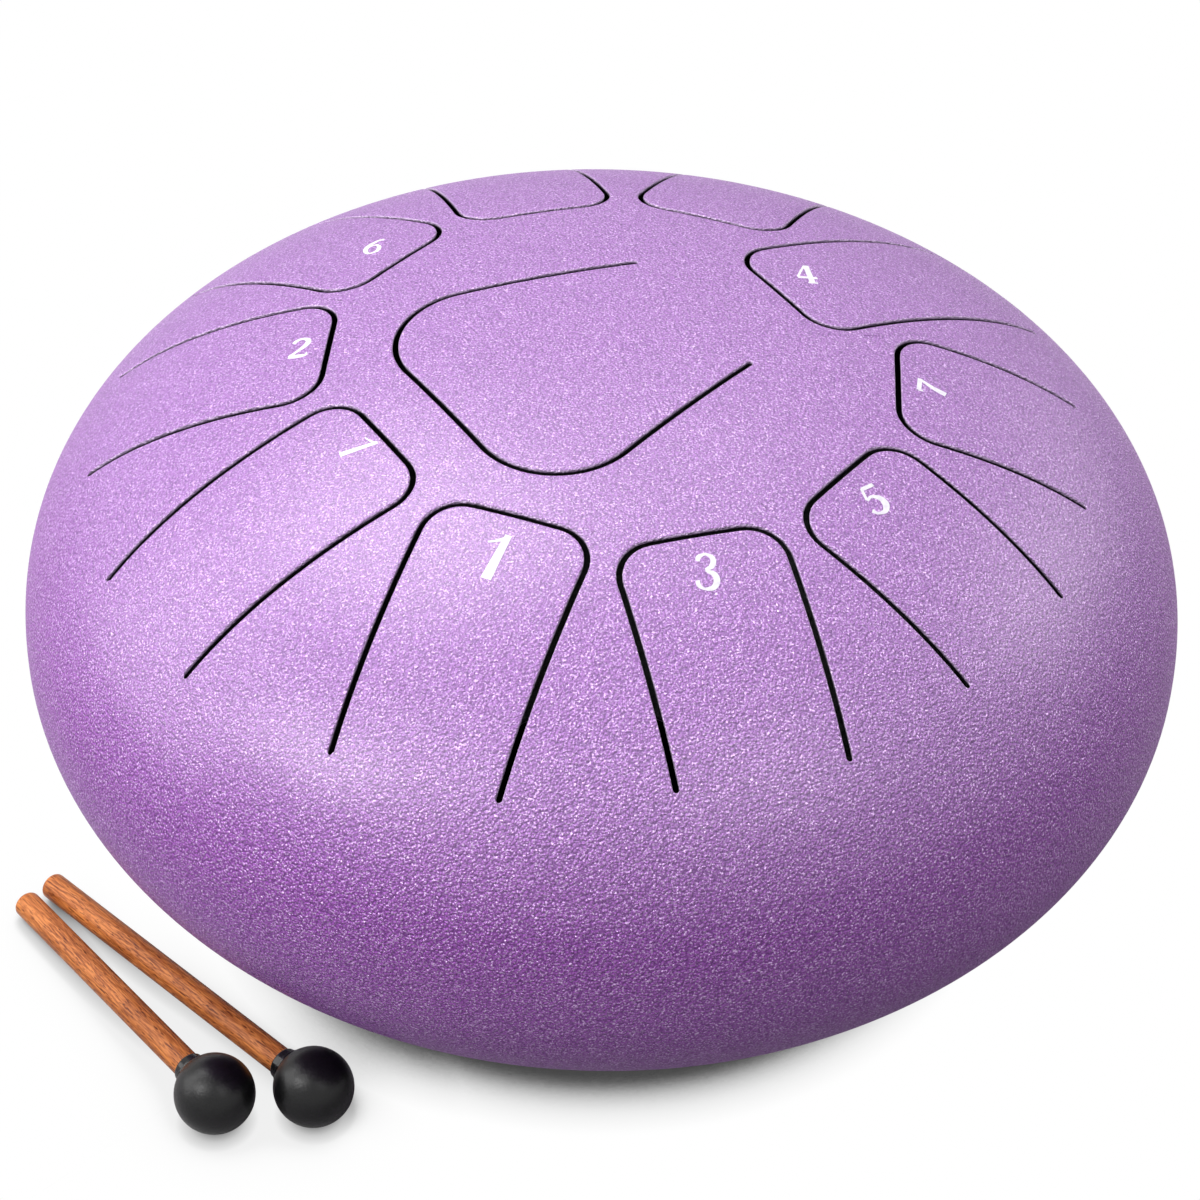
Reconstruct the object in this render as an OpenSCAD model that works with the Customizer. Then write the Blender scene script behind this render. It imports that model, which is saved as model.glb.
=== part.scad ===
// Steel tongue drum, 12 inch class: a pressed crown and a pressed belly welded at the rim,
// ten tongues round the crown and one in its middle, a sound hole and four feet below,
// with two ball mallets lying beside it on the ground. All sizes are in millimetres.
// The origin is on the drum's axis, on the ground that the feet stand on.

/* [Shell] */
// Overall diameter of the drum
drum_d = 305; // [298:1:330]
// Height of the crown above the rim seam
crown_h = 82; // [70:1:95]
// Depth of the belly below the rim seam
belly_h = 81; // [70:1:95]
// Thickness of the steel sheet
wall = 1.6; // [1.2:0.1:2.2]
// Fullness of the crown's curve, where 2 is an ellipse
crown_power = 2.25; // [2:0.05:2.5]
// Fullness of the belly's curve, where 2 is an ellipse
belly_power = 2; // [2:0.05:2.5]
// Diameter of the sound hole in the belly
sound_hole_d = 75; // [50:1:84]
// Room between the belly's curve and the ground
ground_gap = 5; // [4:0.5:9]

/* [Rim seam] */
// Height of the joggled lip above the seam
lip_h = 6; // [4:0.5:9]
// Depth below the seam at which the lip leaves the belly wall
lip_root = 8; // [6:0.5:11]
// Clearance between the lip and the crown
lip_clear = 0.2; // [0.15:0.05:0.3]
// Depth of the weld groove
weld_depth = 1; // [0.6:0.1:1.1]
// Half of the width of the weld groove
weld_half = 1.2; // [0.8:0.1:1.8]

/* [Rim tongues] */
// Distance from the drum's axis at which the rim tongues' tips lie, about
tip_ring = 70; // [69:0.5:76]
// Width of a rim tongue, from slot centre to slot centre
tongue_w = 41.8; // [36:0.2:44]
// Corner radius at the tip, on the slot's centre line
tongue_corner = 9.6; // [7:0.2:14]
// Width of the slots
slot_w = 1.5; // [1:0.1:2.2]
// Gap at the root line, where a tongue starts to bend
root_gap = 0.05; // [0.03:0.01:0.1]

/* [Centre tongue] */
// Direction of the root, anticlockwise from the right hand side
centre_turn = 34; // [20:1:48]
// Distance from the drum's axis to the tip
centre_tip = 46.6; // [40:0.2:48]
// Distance from the drum's axis to the root line
centre_root = 26.9; // [20:0.1:32]
// Width at the tip, with its corners taken as sharp
centre_tip_w = 93.6; // [80:0.2:96]
// Width at the root line
centre_root_w = 52.2; // [44:0.2:60]
// Corner radius at the tip
centre_corner = 21.9; // [18:0.1:26]
// Sideways shift from the drum's axis
centre_shift = 2.4; // [0:0.1:4]

/* [Feet] */
// Distance from the drum's axis to a foot
foot_ring = 60; // [54:1:90]
// Diameter of a foot where it meets the belly
foot_top_d = 22; // [18:0.5:26]
// Diameter of a foot at its lower end
foot_end_d = 18; // [15:0.5:18]
// Thickness of rubber under the belly, down to the washer
foot_web = 4; // [3:0.1:5]
// Nominal diameter of the foot screws
screw_d = 4; // [3:0.5:4.5]
// Diameter of the screw's pan head
head_d = 8; // [7:0.2:8.4]
// Height of the screw's head
head_h = 2.6; // [2:0.1:3]
// Width and depth of the head's cross recess
recess_w = 0.9; // [0.6:0.1:1.2]
// Thickness of the foot washers
washer_h = 0.8; // [0.6:0.1:1.2]
// Outer diameter of the foot washers
washer_d = 9; // [8.6:0.2:9.4]
// Width of the nuts across their flats
nut_flats = 7; // [6:0.5:8]
// Height of the nuts
nut_h = 3.2; // [2.4:0.1:4]
// Length of screw that stands out of the nut
screw_proud = 1; // [0.5:0.1:2]
// Clearance round the screws
screw_clear = 0.2; // [0.1:0.05:0.3]
// Clearance round the washers in the feet
washer_clear = 0.3; // [0.2:0.05:0.5]

/* [Mallets] */
// Diameter of the rubber heads
ball_d = 21; // [18:0.5:26]
// Diameter of the sticks
stick_d = 7.4; // [6:0.1:8.4]
// Length from the middle of the left head to the end of its stick
left_reach = 94; // [85:1:110]
// Length from the middle of the right head to the end of its stick
right_reach = 110; // [90:1:115]
// Depth of the stick's blind bore in the head
ball_bore = 13; // [10:0.5:15]
// Radius of the rounded edge at a stick's free end
stick_end_r = 1; // [0.4:0.1:2]
// Outer diameter of the collars
collar_d = 10.6; // [10:0.1:12]
// Height of a collar beyond the head's surface, along the stick
collar_h = 2; // [1.6:0.1:3]
// Direction of the left stick, from its head to the free end
left_turn = 130; // [126:0.1:132]
// Direction of the right stick, from its head to the free end
right_turn = 136.3; // [134:0.1:138]

/* [Hidden] */

// Round shapes and how finely the outlines are stepped
$fn = 96;
curve_steps = 24;
corner_steps = 8;
end_steps = 6;
overrun = 1;

// The rim tongues in order round the drum, from the low 1 at the front
rim_turns = [-109.6, -73.1, -37, -2.1, 33.9, 70.6, 106.3, 141, 176.8, 213.5];
// Their tips as shares of the ring's radius, their roots as shares of the drum's radius, and how
// far each stands to one side as shares of its width
rim_tip_shares = [0.93, 0.993, 1.013, 1.048, 0.754, 1.046, 1.022, 1.013, 1.017, 0.908];
rim_root_shares = [0.842, 0.826, 0.81, 0.795, 0.816, 0.83, 0.84, 0.848, 0.856, 0.855];
rim_shift_shares = [0.029, 0.033, 0.018, 0.011, 0, -0.015, -0.026, 0, -0.029, -0.044];

// Where the mallets' heads rest, as shares of the drum's radius
ball_place_shares = [[-0.631, -0.745], [-0.466, -0.725]];

foot_turns = [225, 315, 135, 45];

// Play between a nut and the belly
nut_seat = 0.1;

drum_r = drum_d / 2;
rim_z = belly_h + ground_gap;
coat = [0.62, 0.42, 0.78];
steel = [0.75, 0.76, 0.78];
black_rubber = [0.1, 0.1, 0.11];
gloss_black = [0.03, 0.03, 0.035];
wood = [0.62, 0.33, 0.17];

// A point of a dome's curve: radius r at the rim, height h, t from 0 at the rim to 90 at the top
function dome_point(t, r, h, p) = [r * pow(cos(t), 2 / p), h * pow(sin(t), 2 / p)];

// The curve's parameter at a given height, and at a given radius
function at_height(z, h, p) = asin(pow(z / h, p / 2));
function at_radius(x, r, p) = acos(pow(x / r, p / 2));

// The dome's curve from parameter t0 to t1
function dome_curve(t0, t1, r, h, p) =
  [for (i = [0:curve_steps]) dome_point(t0 + (t1 - t0) * i / curve_steps, r, h, p)];

function downwards(points) = [for (q = points) [q.x, -q.y]];
function backwards(points) = [for (i = [len(points) - 1:-1:0]) points[i]];

inner_r = drum_r - wall;
crown_in_h = crown_h - wall;
belly_in_h = belly_h - wall;
crown_start = at_height(weld_half, crown_h, crown_power);
belly_start = at_height(weld_half, belly_h, belly_power);

// Section of the crown, above the seam
crown_section = concat(
  [[drum_r - weld_depth, 0]],
  dome_curve(crown_start, 90, drum_r, crown_h, crown_power),
  backwards(dome_curve(0, 90, inner_r, crown_in_h, crown_power)));

// The lip stands inside the crown at the height where the crown is narrowest over it
lip_r = dome_point(at_height(lip_h, crown_in_h, crown_power), inner_r, crown_in_h, crown_power).x - lip_clear;
hole_r = sound_hole_d / 2;
lip_leaves = at_height(lip_root, belly_in_h, belly_power);

// Section of the belly, with the joggled lip that locates the crown
belly_section = concat(
  [[lip_r, 0], [drum_r - weld_depth, 0]],
  downwards(dome_curve(belly_start, at_radius(hole_r, drum_r, belly_power), drum_r, belly_h, belly_power)),
  backwards(downwards(dome_curve(lip_leaves, at_radius(hole_r, inner_r, belly_power),
    inner_r, belly_in_h, belly_power))),
  [[lip_r - wall, -lip_root + wall], [lip_r - wall, lip_h], [lip_r, lip_h]]);

// The weld fills the groove between the two and is ground flush
weld_section = [[drum_r - weld_depth, 0],
  dome_point(crown_start, drum_r, crown_h, crown_power),
  [drum_r, 0],
  downwards([dome_point(belly_start, drum_r, belly_h, belly_power)])[0]];

module revolved(points) {
  translate([0, 0, rim_z])
    rotate_extrude()
      polygon(points);
}

// A tongue is drawn along x, from its tip to its root, and is mirrored about its centre line. Its
// side runs from half width root_half at the root to tip_half at the tip.
function side_dir(tip, root, tip_half, root_half) =
  [root - tip, root_half - tip_half] / norm([root - tip, root_half - tip_half]);
function side_out(d) = [-d.y, d.x];

// The round corner between the side and the tip edge, grown by g from the slot's centre line.
// Its middle lies one radius inside both edges.
function tip_round(tip, root, tip_half, root_half, corner, g) =
  let (d = side_dir(tip, root, tip_half, root_half), out = side_out(d),
    mid = [tip + corner, tip_half + corner * (d.y - 1) / d.x],
    from = atan2(out.y, out.x))
  [for (i = [0:corner_steps]) let (a = from + (180 - from) * i / corner_steps)
    mid + (corner + g) * [cos(a), sin(a)]];

// The point of a side's line, grown by g, at distance x along the tongue
function side_at(x, tip, root, tip_half, root_half, g) =
  let (d = side_dir(tip, root, tip_half, root_half), out = side_out(d),
    start = [root, root_half] + g * out)
  start + d * (x - start.x) / d.x;

// Half of a slot's round end, about the slot's end on its centre line
function slot_end(tip, root, tip_half, root_half) =
  let (d = side_dir(tip, root, tip_half, root_half), out = side_out(d))
  [for (i = [0:end_steps]) let (a = 180 * i / end_steps)
    [root, root_half] + slot_w / 2 * (d * sin(a) - out * cos(a))];

function mirrored(points) = [for (q = backwards(points)) [q.x, -q.y]];

// Outline of the opening that a tongue and its slots take out of the crown
function window_outline(tip, root, tip_half, root_half, corner) =
  let (half = concat(slot_end(tip, root, tip_half, root_half),
    tip_round(tip, root, tip_half, root_half, corner, slot_w / 2)))
  concat(half, mirrored(half));

// Outline of the tongue itself, which stops a hair short of the root line
function tongue_outline(tip, root, tip_half, root_half, corner) =
  let (foot = slot_end(tip, root, tip_half, root_half)[0].x - root_gap,
    half = concat([side_at(foot, tip, root, tip_half, root_half, -slot_w / 2)],
    tip_round(tip, root, tip_half, root_half, corner, -slot_w / 2)))
  concat(half, mirrored(half));

module rim_prism(i, points) {
  rotate([0, 0, rim_turns[i]])
    translate([0, tongue_w * rim_shift_shares[i], rim_z])
      linear_extrude(height = crown_h + overrun)
        polygon(points);
}

module centre_prism(points) {
  rotate([0, 0, centre_turn])
    translate([0, centre_shift, rim_z])
      linear_extrude(height = crown_h + overrun)
        polygon(points);
}

module rim_window(i) {
  rim_prism(i, window_outline(tip_ring * rim_tip_shares[i], drum_r * rim_root_shares[i],
    tongue_w / 2, tongue_w / 2, tongue_corner));
}

module centre_window() {
  centre_prism(window_outline(-centre_tip, centre_root,
    centre_tip_w / 2, centre_root_w / 2, centre_corner));
}

module top_shell() {
  color(coat)
    difference() {
      revolved(crown_section);
      for (i = [0:len(rim_turns) - 1])
        rim_window(i);
      centre_window();
    }
}

module rim_tongue(i) {
  color(coat)
    intersection() {
      revolved(crown_section);
      rim_prism(i, tongue_outline(tip_ring * rim_tip_shares[i], drum_r * rim_root_shares[i],
        tongue_w / 2, tongue_w / 2, tongue_corner));
    }
}

module centre_tongue() {
  color(coat)
    intersection() {
      revolved(crown_section);
      centre_prism(tongue_outline(-centre_tip, centre_root,
        centre_tip_w / 2, centre_root_w / 2, centre_corner));
    }
}

// Where a foot meets the belly, and how far its axis leans out from the vertical
foot_t = at_radius(foot_ring, drum_r, belly_power);
foot_seat_z = dome_point(foot_t, drum_r, belly_h, belly_power).y;
foot_lean = atan2(pow(foot_ring, belly_power - 1) / pow(drum_r, belly_power),
  pow(foot_seat_z, belly_power - 1) / pow(belly_h, belly_power));

// Children stand at one foot, with z pointing out of the belly and zero on its surface
module at_foot(turn) {
  rotate([0, 0, turn])
    translate([foot_ring, 0, rim_z - foot_seat_z])
      rotate([0, 180 - foot_lean, 0])
        children();
}

module screw_holes() {
  for (turn = foot_turns)
    at_foot(turn)
      cylinder(h = wall * 4, d = screw_d + 2 * screw_clear, center = true);
}

module bottom_shell() {
  color(coat)
    difference() {
      revolved(belly_section);
      screw_holes();
    }
}

module seam_weld() {
  color(steel)
    revolved(weld_section);
}

// The belly as a solid, which the feet are moulded to
belly_solid_section = concat([[0, 0], [drum_r - weld_depth, 0]],
  downwards(dome_curve(belly_start, at_radius(hole_r, drum_r, belly_power), drum_r, belly_h, belly_power)),
  [[0, -dome_point(at_radius(hole_r, drum_r, belly_power), drum_r, belly_h, belly_power).y]]);

foot_l = (rim_z - foot_seat_z) / cos(foot_lean);
foot_over = foot_top_d / 2;

// Rubber foot: a taper that fits the belly above and is cut level with the ground
module foot(turn) {
  color(black_rubber)
    difference() {
      intersection() {
        at_foot(turn)
          translate([0, 0, -foot_over])
            cylinder(h = foot_l + 2 * foot_over,
              d1 = foot_top_d + (foot_top_d - foot_end_d) * foot_over / foot_l,
              d2 = foot_end_d - (foot_top_d - foot_end_d) * foot_over / foot_l);
        translate([-drum_r, -drum_r, 0])
          cube([drum_d, drum_d, rim_z]);
      }
      revolved(belly_solid_section);
      at_foot(turn) {
        translate([0, 0, foot_web])
          cylinder(h = foot_l + foot_over, d = washer_d + 2 * washer_clear);
        translate([0, 0, -foot_over])
          cylinder(h = foot_l + foot_over, d = screw_d + 2 * screw_clear);
      }
    }
}

module foot_washers() {
  color(steel)
    for (turn = foot_turns)
      at_foot(turn)
        translate([0, 0, foot_web])
          difference() {
            cylinder(h = washer_h, d = washer_d);
            translate([0, 0, -overrun])
              cylinder(h = washer_h + 2 * overrun, d = screw_d + 2 * screw_clear);
          }
}

// Pan head with a cross recess, and a shank that reaches through the nut
module foot_screw() {
  head_at = foot_web + washer_h;
  inside = wall + nut_h + screw_proud;
  difference() {
    union() {
      translate([0, 0, -inside])
        cylinder(h = inside + head_at + head_h / 2, d = screw_d);
      translate([0, 0, head_at])
        cylinder(h = head_h / 2, d = head_d);
      translate([0, 0, head_at + head_h / 2])
        cylinder(h = head_h / 2, d1 = head_d, d2 = head_d - head_h);
    }
    for (turn = [0, 90])
      rotate([0, 0, turn])
        translate([-screw_d / 2, -recess_w / 2, head_at + head_h - recess_w])
          cube([screw_d, recess_w, recess_w + overrun]);
  }
}

module foot_screws() {
  color(steel)
    for (turn = foot_turns)
      at_foot(turn)
        foot_screw();
}

module foot_nuts() {
  color(steel)
    for (turn = foot_turns)
      at_foot(turn)
        translate([0, 0, -wall - nut_seat - nut_h])
          difference() {
            cylinder(h = nut_h, d = nut_flats / cos(30), $fn = 6);
            translate([0, 0, -overrun])
              cylinder(h = nut_h + 2 * overrun, d = screw_d);
          }
}

// A mallet lies on the ground on its head and on the end of its stick. Its children are drawn
// along x, from the middle of the head at zero to the free end at reach.
module at_mallet(i, turn, reach) {
  translate([drum_r * ball_place_shares[i].x, drum_r * ball_place_shares[i].y, ball_d / 2])
    rotate([0, 0, turn])
      rotate([0, asin((ball_d - stick_d) / 2 / (reach - stick_end_r)), 0])
        children();
}

module stick(reach) {
  stick_r = stick_d / 2;
  color(wood)
    rotate([0, 90, 0])
      rotate_extrude()
        polygon(concat([[0, ball_d / 2 - ball_bore], [stick_r, ball_d / 2 - ball_bore]],
          [for (i = [0:end_steps]) let (a = 90 * i / end_steps)
            [stick_r - stick_end_r + stick_end_r * cos(a), reach - stick_end_r + stick_end_r * sin(a)]],
          [[0, reach]]));
}

module head() {
  color(black_rubber)
    difference() {
      sphere(d = ball_d);
      translate([ball_d / 2 - ball_bore, 0, 0])
        rotate([0, 90, 0])
          cylinder(h = ball_bore + overrun, d = stick_d);
    }
}

// Glossy collar between stick and head: a ring with a rounded shoulder, seated on the ball
module collar() {
  collar_r = collar_d / 2;
  stick_r = stick_d / 2;
  round_w = collar_r - stick_r;
  color(gloss_black)
    rotate([0, 90, 0])
      difference() {
        rotate_extrude()
          polygon(concat([[stick_r, 0], [collar_r, 0]],
            [for (i = [0:end_steps]) let (a = 90 * i / end_steps)
              [stick_r + round_w * cos(a), ball_d / 2 + collar_h - round_w + round_w * sin(a)]]));
        sphere(d = ball_d);
      }
}

module tongue_low_1() { rim_tongue(0); }
module tongue_3() { rim_tongue(1); }
module tongue_5() { rim_tongue(2); }
module tongue_7() { rim_tongue(3); }
module tongue_4() { rim_tongue(4); }
module tongue_back_right() { rim_tongue(5); }
module tongue_back_left() { rim_tongue(6); }
module tongue_6() { rim_tongue(7); }
module tongue_2() { rim_tongue(8); }
module tongue_high_1() { rim_tongue(9); }
module tongue_centre() { centre_tongue(); }
module left_mallet_stick() { at_mallet(0, left_turn, left_reach) stick(left_reach); }
module left_mallet_collar() { at_mallet(0, left_turn, left_reach) collar(); }
module left_mallet_head() { at_mallet(0, left_turn, left_reach) head(); }
module right_mallet_stick() { at_mallet(1, right_turn, right_reach) stick(right_reach); }
module right_mallet_collar() { at_mallet(1, right_turn, right_reach) collar(); }
module right_mallet_head() { at_mallet(1, right_turn, right_reach) head(); }

top_shell();
bottom_shell();
seam_weld();
tongue_low_1();
tongue_3();
tongue_5();
tongue_7();
tongue_4();
tongue_back_right();
tongue_back_left();
tongue_6();
tongue_2();
tongue_high_1();
tongue_centre();
foot(foot_turns[0]);  // foot_front_left
foot(foot_turns[1]);  // foot_front_right
foot(foot_turns[2]);  // foot_back_left
foot(foot_turns[3]);  // foot_back_right
foot_washers();
foot_screws();
foot_nuts();
left_mallet_stick();
left_mallet_collar();
left_mallet_head();
right_mallet_stick();
right_mallet_collar();
right_mallet_head();
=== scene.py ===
# Steel tongue drum with a wrinkled lilac coat, and its two mallets beside it
import bmesh
import bpy
import math
import numpy as np
from mathutils import Matrix, Vector


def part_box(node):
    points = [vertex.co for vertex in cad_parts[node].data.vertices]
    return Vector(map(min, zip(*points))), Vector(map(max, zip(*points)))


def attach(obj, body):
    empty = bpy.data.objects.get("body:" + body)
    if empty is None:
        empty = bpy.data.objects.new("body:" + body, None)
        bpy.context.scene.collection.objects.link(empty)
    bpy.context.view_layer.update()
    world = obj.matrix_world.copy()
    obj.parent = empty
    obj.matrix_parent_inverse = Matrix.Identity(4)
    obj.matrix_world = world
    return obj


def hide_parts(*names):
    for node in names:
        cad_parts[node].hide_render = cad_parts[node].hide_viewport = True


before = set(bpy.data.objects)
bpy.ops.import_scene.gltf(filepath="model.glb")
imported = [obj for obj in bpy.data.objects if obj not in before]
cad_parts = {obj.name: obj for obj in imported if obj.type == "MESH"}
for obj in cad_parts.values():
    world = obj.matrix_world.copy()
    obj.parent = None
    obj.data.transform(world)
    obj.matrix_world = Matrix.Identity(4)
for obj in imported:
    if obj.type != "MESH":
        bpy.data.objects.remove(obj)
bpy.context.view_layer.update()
seamLow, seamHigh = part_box("seam_weld")
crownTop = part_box("tongue_centre")[1].z

print("camera")
cameraSetup = dict(
    place=(0.0, -0.6381, 0.6361),  # metres, from the ground below the drum's middle
    down=40.927,  # degrees below the horizon
    turn=-0.046,  # degrees to the right of straight ahead
    roll=1.387,  # degrees, anticlockwise
    lens=94.22,  # millimetres, like the sensor's width
    sensor=36.0,
    nearest=0.01,  # metres
    farthest=50.0,
)


def makeCamera(setup):
    # forward = (sin turn cos down, cos turn cos down, -sin down), and the roll turns right and up about it
    turn, down, roll = (math.radians(setup[key]) for key in ("turn", "down", "roll"))
    forward = np.array([math.sin(turn) * math.cos(down), math.cos(turn) * math.cos(down), -math.sin(down)])
    level = np.array([math.cos(turn), -math.sin(turn), 0.0])
    upright = np.cross(level, forward)
    right = math.cos(roll) * level + math.sin(roll) * upright
    up = -math.sin(roll) * level + math.cos(roll) * upright
    data = bpy.data.cameras.new("camera")
    data.lens, data.sensor_width = setup["lens"], setup["sensor"]
    data.clip_start, data.clip_end = setup["nearest"], setup["farthest"]
    camera = bpy.data.objects.new("camera", data)
    rows = [[*axes, place] for *axes, place in zip(right, up, -forward, setup["place"])]
    camera.matrix_world = Matrix(rows + [[0, 0, 0, 1]])
    bpy.context.scene.collection.objects.link(camera)
    bpy.context.scene.camera = camera


makeCamera(cameraSetup)

meshRules = dict(
    mergeWithin=0.000002,  # metres
    sharpAngle=35,  # degrees
)


def gridFaces(rows, columns, start, wrap):
    # quads between neighbouring rows and columns of a grid of points; wrap joins the last column to the first
    row = np.arange(rows - 1)[:, None]
    column = np.arange(columns if wrap else columns - 1)[None, :]
    following = (column + 1) % columns
    corners = [row * columns + column, row * columns + following,
               (row + 1) * columns + following, (row + 1) * columns + column]
    return (start + np.stack(corners, axis=-1)).reshape(-1, 4)


def fillAttribute(mesh, name, kind, field, parts):
    values = np.concatenate([part.ravel() for part in parts]).astype(np.float32)
    mesh.attributes.new(name, kind, "POINT").data.foreach_set(field, values)


def makePiece(name, patches, body, material, replaced=(), places=None, depths=None):
    # patches are (points of rows x columns x 3, wrap) and are welded where they meet
    points, faces, start = [], [], 0
    for patch, wrap in patches:
        rows, columns = patch.shape[:2]
        points.append(patch.reshape(-1, 3))
        faces.append(gridFaces(rows, columns, start, wrap))
        start += rows * columns
    mesh = bpy.data.meshes.new(name)
    mesh.from_pydata(np.concatenate(points).tolist(), [], np.concatenate(faces).tolist())
    if places is not None:  # where each point lies in the piece's own frame, for a grain that follows it
        fillAttribute(mesh, "ownPlace", "FLOAT_VECTOR", "vector", places)
    if depths is not None:  # how far each row lies below the coated face
        spread = [np.broadcast_to(np.reshape(depth, (-1, 1)), patch.shape[:2])
                  for depth, (patch, wrap) in zip(depths, patches)]
        fillAttribute(mesh, "coatDepth", "FLOAT", "value", spread)
    work = bmesh.new()
    work.from_mesh(mesh)
    bmesh.ops.remove_doubles(work, verts=work.verts, dist=meshRules["mergeWithin"])
    bmesh.ops.recalc_face_normals(work, faces=work.faces)
    work.to_mesh(mesh)
    work.free()
    mesh.shade_smooth()
    mesh.set_sharp_from_angle(angle=math.radians(meshRules["sharpAngle"]))
    piece = bpy.data.objects.new(name, mesh)
    bpy.context.scene.collection.objects.link(piece)
    mesh.materials.append(material)
    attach(piece, body)
    if replaced:
        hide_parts(*replaced)
    return piece


print("materials")


def startMaterial(name):
    material = bpy.data.materials.new(name)
    material.use_nodes = True
    tree = material.node_tree
    return material, tree, tree.nodes["Principled BSDF"]


def addNode(tree, kind, inputs=(), **settings):
    # inputs is a dictionary of socket names or numbers to a value, or to a socket to link from
    node = tree.nodes.new(kind)
    for key, value in settings.items():
        setattr(node, key, value)
    for key, value in dict(inputs).items():
        if isinstance(value, bpy.types.NodeSocket):
            tree.links.new(value, node.inputs[key])
        else:
            node.inputs[key].default_value = value
    return node


def addNoise(tree, place, scale, detail, twist=0.0):
    inputs = {"Vector": place, "Scale": scale, "Detail": detail, "Distortion": twist}
    return addNode(tree, "ShaderNodeTexNoise", inputs)


def addMath(tree, operation, *values):
    return addNode(tree, "ShaderNodeMath", dict(enumerate(values)), operation=operation).outputs[0]


def addRange(tree, value, start, end, low=0.0, high=1.0, curve="LINEAR"):
    # low up to start, high from end on, and between them a straight or smooth step
    inputs = {0: value, 1: start, 2: end, 3: low, 4: high}
    return addNode(tree, "ShaderNodeMapRange", inputs, interpolation_type=curve).outputs[0]


def addBump(tree, shader, height, finish):
    inputs = {"Height": height, "Strength": finish["bumpStrength"], "Distance": finish["bumpDepth"]}
    tree.links.new(addNode(tree, "ShaderNodeBump", inputs).outputs[0], shader.inputs["Normal"])


def addRamp(tree, factor, stops):
    # stops are (position, colour) pairs
    node = addNode(tree, "ShaderNodeValToRGB", {0: factor})
    elements = node.color_ramp.elements
    while len(elements) < len(stops):
        elements.new(0.5)
    for element, (position, colour) in zip(elements, stops):
        element.position = position
        element.color = (*colour, 1.0)
    return node.outputs["Color"]


def mixColours(tree, factor, first, second, blend="MIX"):
    node = addNode(tree, "ShaderNodeMix", {"Factor": factor}, data_type="RGBA", blend_type=blend)
    for socket, value in ((node.inputs[6], first), (node.inputs[7], second)):
        if isinstance(value, bpy.types.NodeSocket):
            tree.links.new(value, socket)
        else:
            socket.default_value = (*value, 1.0)
    return node.outputs[2]


coatFinish = dict(
    # from the middle of a cell to its crease, darker towards the crease: painted shade in the creases
    tones=[(0.15, (0.395, 0.118, 0.52)), (0.45, (0.335, 0.080, 0.46)), (0.75, (0.225, 0.042, 0.33))],
    fleckGlint=(0.80, 0.55, 0.92),  # paler colour of the metallic flakes on the wrinkles' crests: a painted glint
    paintedSheen=(0.70, 0.88, 0.78),  # painted sheen: a pale tint mixed in over the upper side
    paintedSheenShare=0.12,
    paintedSheenFrom=0.098,  # metres above the ground
    paintedSheenTo=0.140,
    edge=(0.80, 0.68, 0.86),  # painted highlight: a pale line over the rounded edges of the slots
    edgeHighlightShare=0.55,
    edgeHighlightFrom=0.00003,
    edgeHighlightTo=0.00022,
    inside=(0.010, 0.010, 0.011),  # near-black painted shade down in the slots and over the drum's inside faces
    slotShadeFrom=0.00045,  # metres below the coated face
    slotShadeTo=0.0009,
    cellScale=1350.0,  # per metre
    cellShake=0.0006,  # metres by which the cells are pushed out of shape
    shake=dict(scale=900.0, detail=1.0),
    grain=dict(scale=2050.0, detail=2.0, twist=0.35),
    grainShare=0.5,  # of the noise in the wrinkles' height
    fleckFrom=0.52,
    fleckTo=0.72,
    metallic=0.25,
    fleckMetallic=0.65,
    roughness=0.38,
    fleckRoughness=0.33,
    specular=0.03,
    lacquer=0.23,  # thin clear layer, smoother than the wrinkles below it
    lacquerRoughness=0.32,
    lacquerIndex=2.4,
    bumpStrength=1.0,
    bumpDepth=0.00048,
)


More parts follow.
